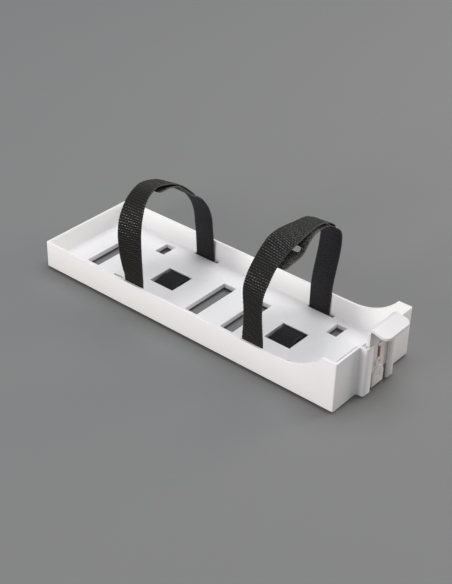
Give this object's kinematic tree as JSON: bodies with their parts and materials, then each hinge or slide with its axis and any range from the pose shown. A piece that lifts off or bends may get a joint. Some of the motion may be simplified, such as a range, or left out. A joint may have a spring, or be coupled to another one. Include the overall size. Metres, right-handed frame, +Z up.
{
  "type": "battery tray",
  "caption": "Long white plastic battery tray with vented floor, hook-and-loop straps through floor slots and a spring-loaded release latch at one end.",
  "frame": {"origin": "middle of the tray's underside, halfway along the tray body and halfway between its long walls", "axes": "+X along the tray towards the latch end, +Y across the tray, +Z up out of the open top"},
  "size_m": [0.3195, 0.1102, 0.1089],
  "materials": {
    "white_plastic": "smooth satin moulding",
    "strap_webbing": "black hook-and-loop webbing, ribbed hook side out",
    "spring_wire": "plain copper-coloured wire"
  },
  "bodies": {
    "tray": {"tray_body": "white_plastic", "rear_strap": "strap_webbing", "front_strap": "strap_webbing", "latch_spring": "spring_wire"},
    "latch": {"latch_plate": "white_plastic"}
  },
  "joints": [
    {"name": "latch_slide", "type": "slide", "parent": "tray", "child": "latch", "axis": [0, 0, 1], "range_m": [0, 0.006], "stiffness_N_per_m": 300, "springref_m": -0.006, "deforming": ["latch_spring"]}
  ]
}
